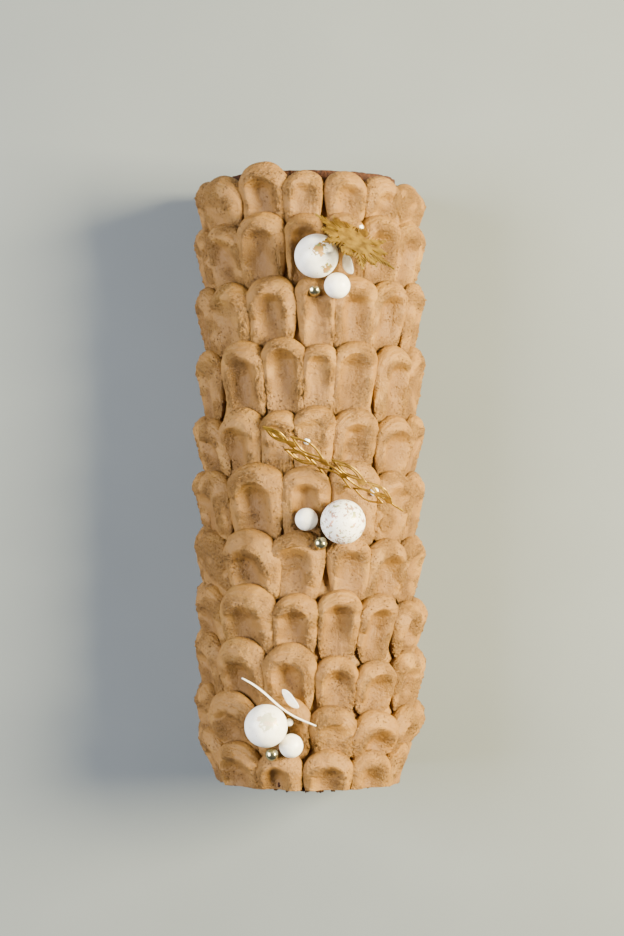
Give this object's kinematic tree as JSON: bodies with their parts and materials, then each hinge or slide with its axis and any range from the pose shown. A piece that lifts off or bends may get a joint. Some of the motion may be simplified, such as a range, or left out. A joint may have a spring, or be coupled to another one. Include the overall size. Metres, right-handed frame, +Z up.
{
  "type": "yule log",
  "caption": "Filled sponge roll cake lying on its flat base, covered in rows of spooned coffee buttercream petals, with white balls, metallic sugar pearls and thin gold ornaments on top.",
  "frame": {"origin": "middle of the flat base, on the surface that the log lies on", "axes": "+Z up; +Y along the log, towards the end that the petals' domes face; +X to the right of it seen from above"},
  "size_m": [0.1027, 0.2741, 0.1011],
  "materials": {
    "chocolate_sponge": "open brown sponge crumb, matt and dry",
    "cream_filling": "soft coffee cream, cut smooth",
    "coffee_buttercream": "whipped coffee buttercream dragged with a spoon, soft satin with air pores",
    "white_chocolate": "white chocolate shell, satin, with flecks of gold leaf on the large balls",
    "champagne_dragee": "pale champagne metallic sugar coat, bright",
    "gold_mirror": "thin gold mirror plate, cut through, satin",
    "white_leaf": "thin white sugar leaf, slightly see-through"
  },
  "bodies": {
    "root": {"sponge_roll": "chocolate_sponge", "cream_filling": "cream_filling", "frosting": "coffee_buttercream", "ball_large_1": "white_chocolate", "ball_large_2": "white_chocolate", "ball_large_3": "white_chocolate", "ball_small_1": "white_chocolate", "ball_small_2": "white_chocolate", "ball_small_3": "white_chocolate", "dragee_1": "champagne_dragee", "dragee_2": "champagne_dragee", "dragee_3": "champagne_dragee", "pearl_1": "white_chocolate", "pearl_2": "white_chocolate", "pearl_3": "white_chocolate", "pearl_4": "white_chocolate", "gold_snowflake": "gold_mirror", "gold_scroll": "gold_mirror", "white_leaf_long": "white_leaf", "white_leaf_round": "white_leaf", "white_leaf_small": "white_leaf"}
  },
  "joints": []
}
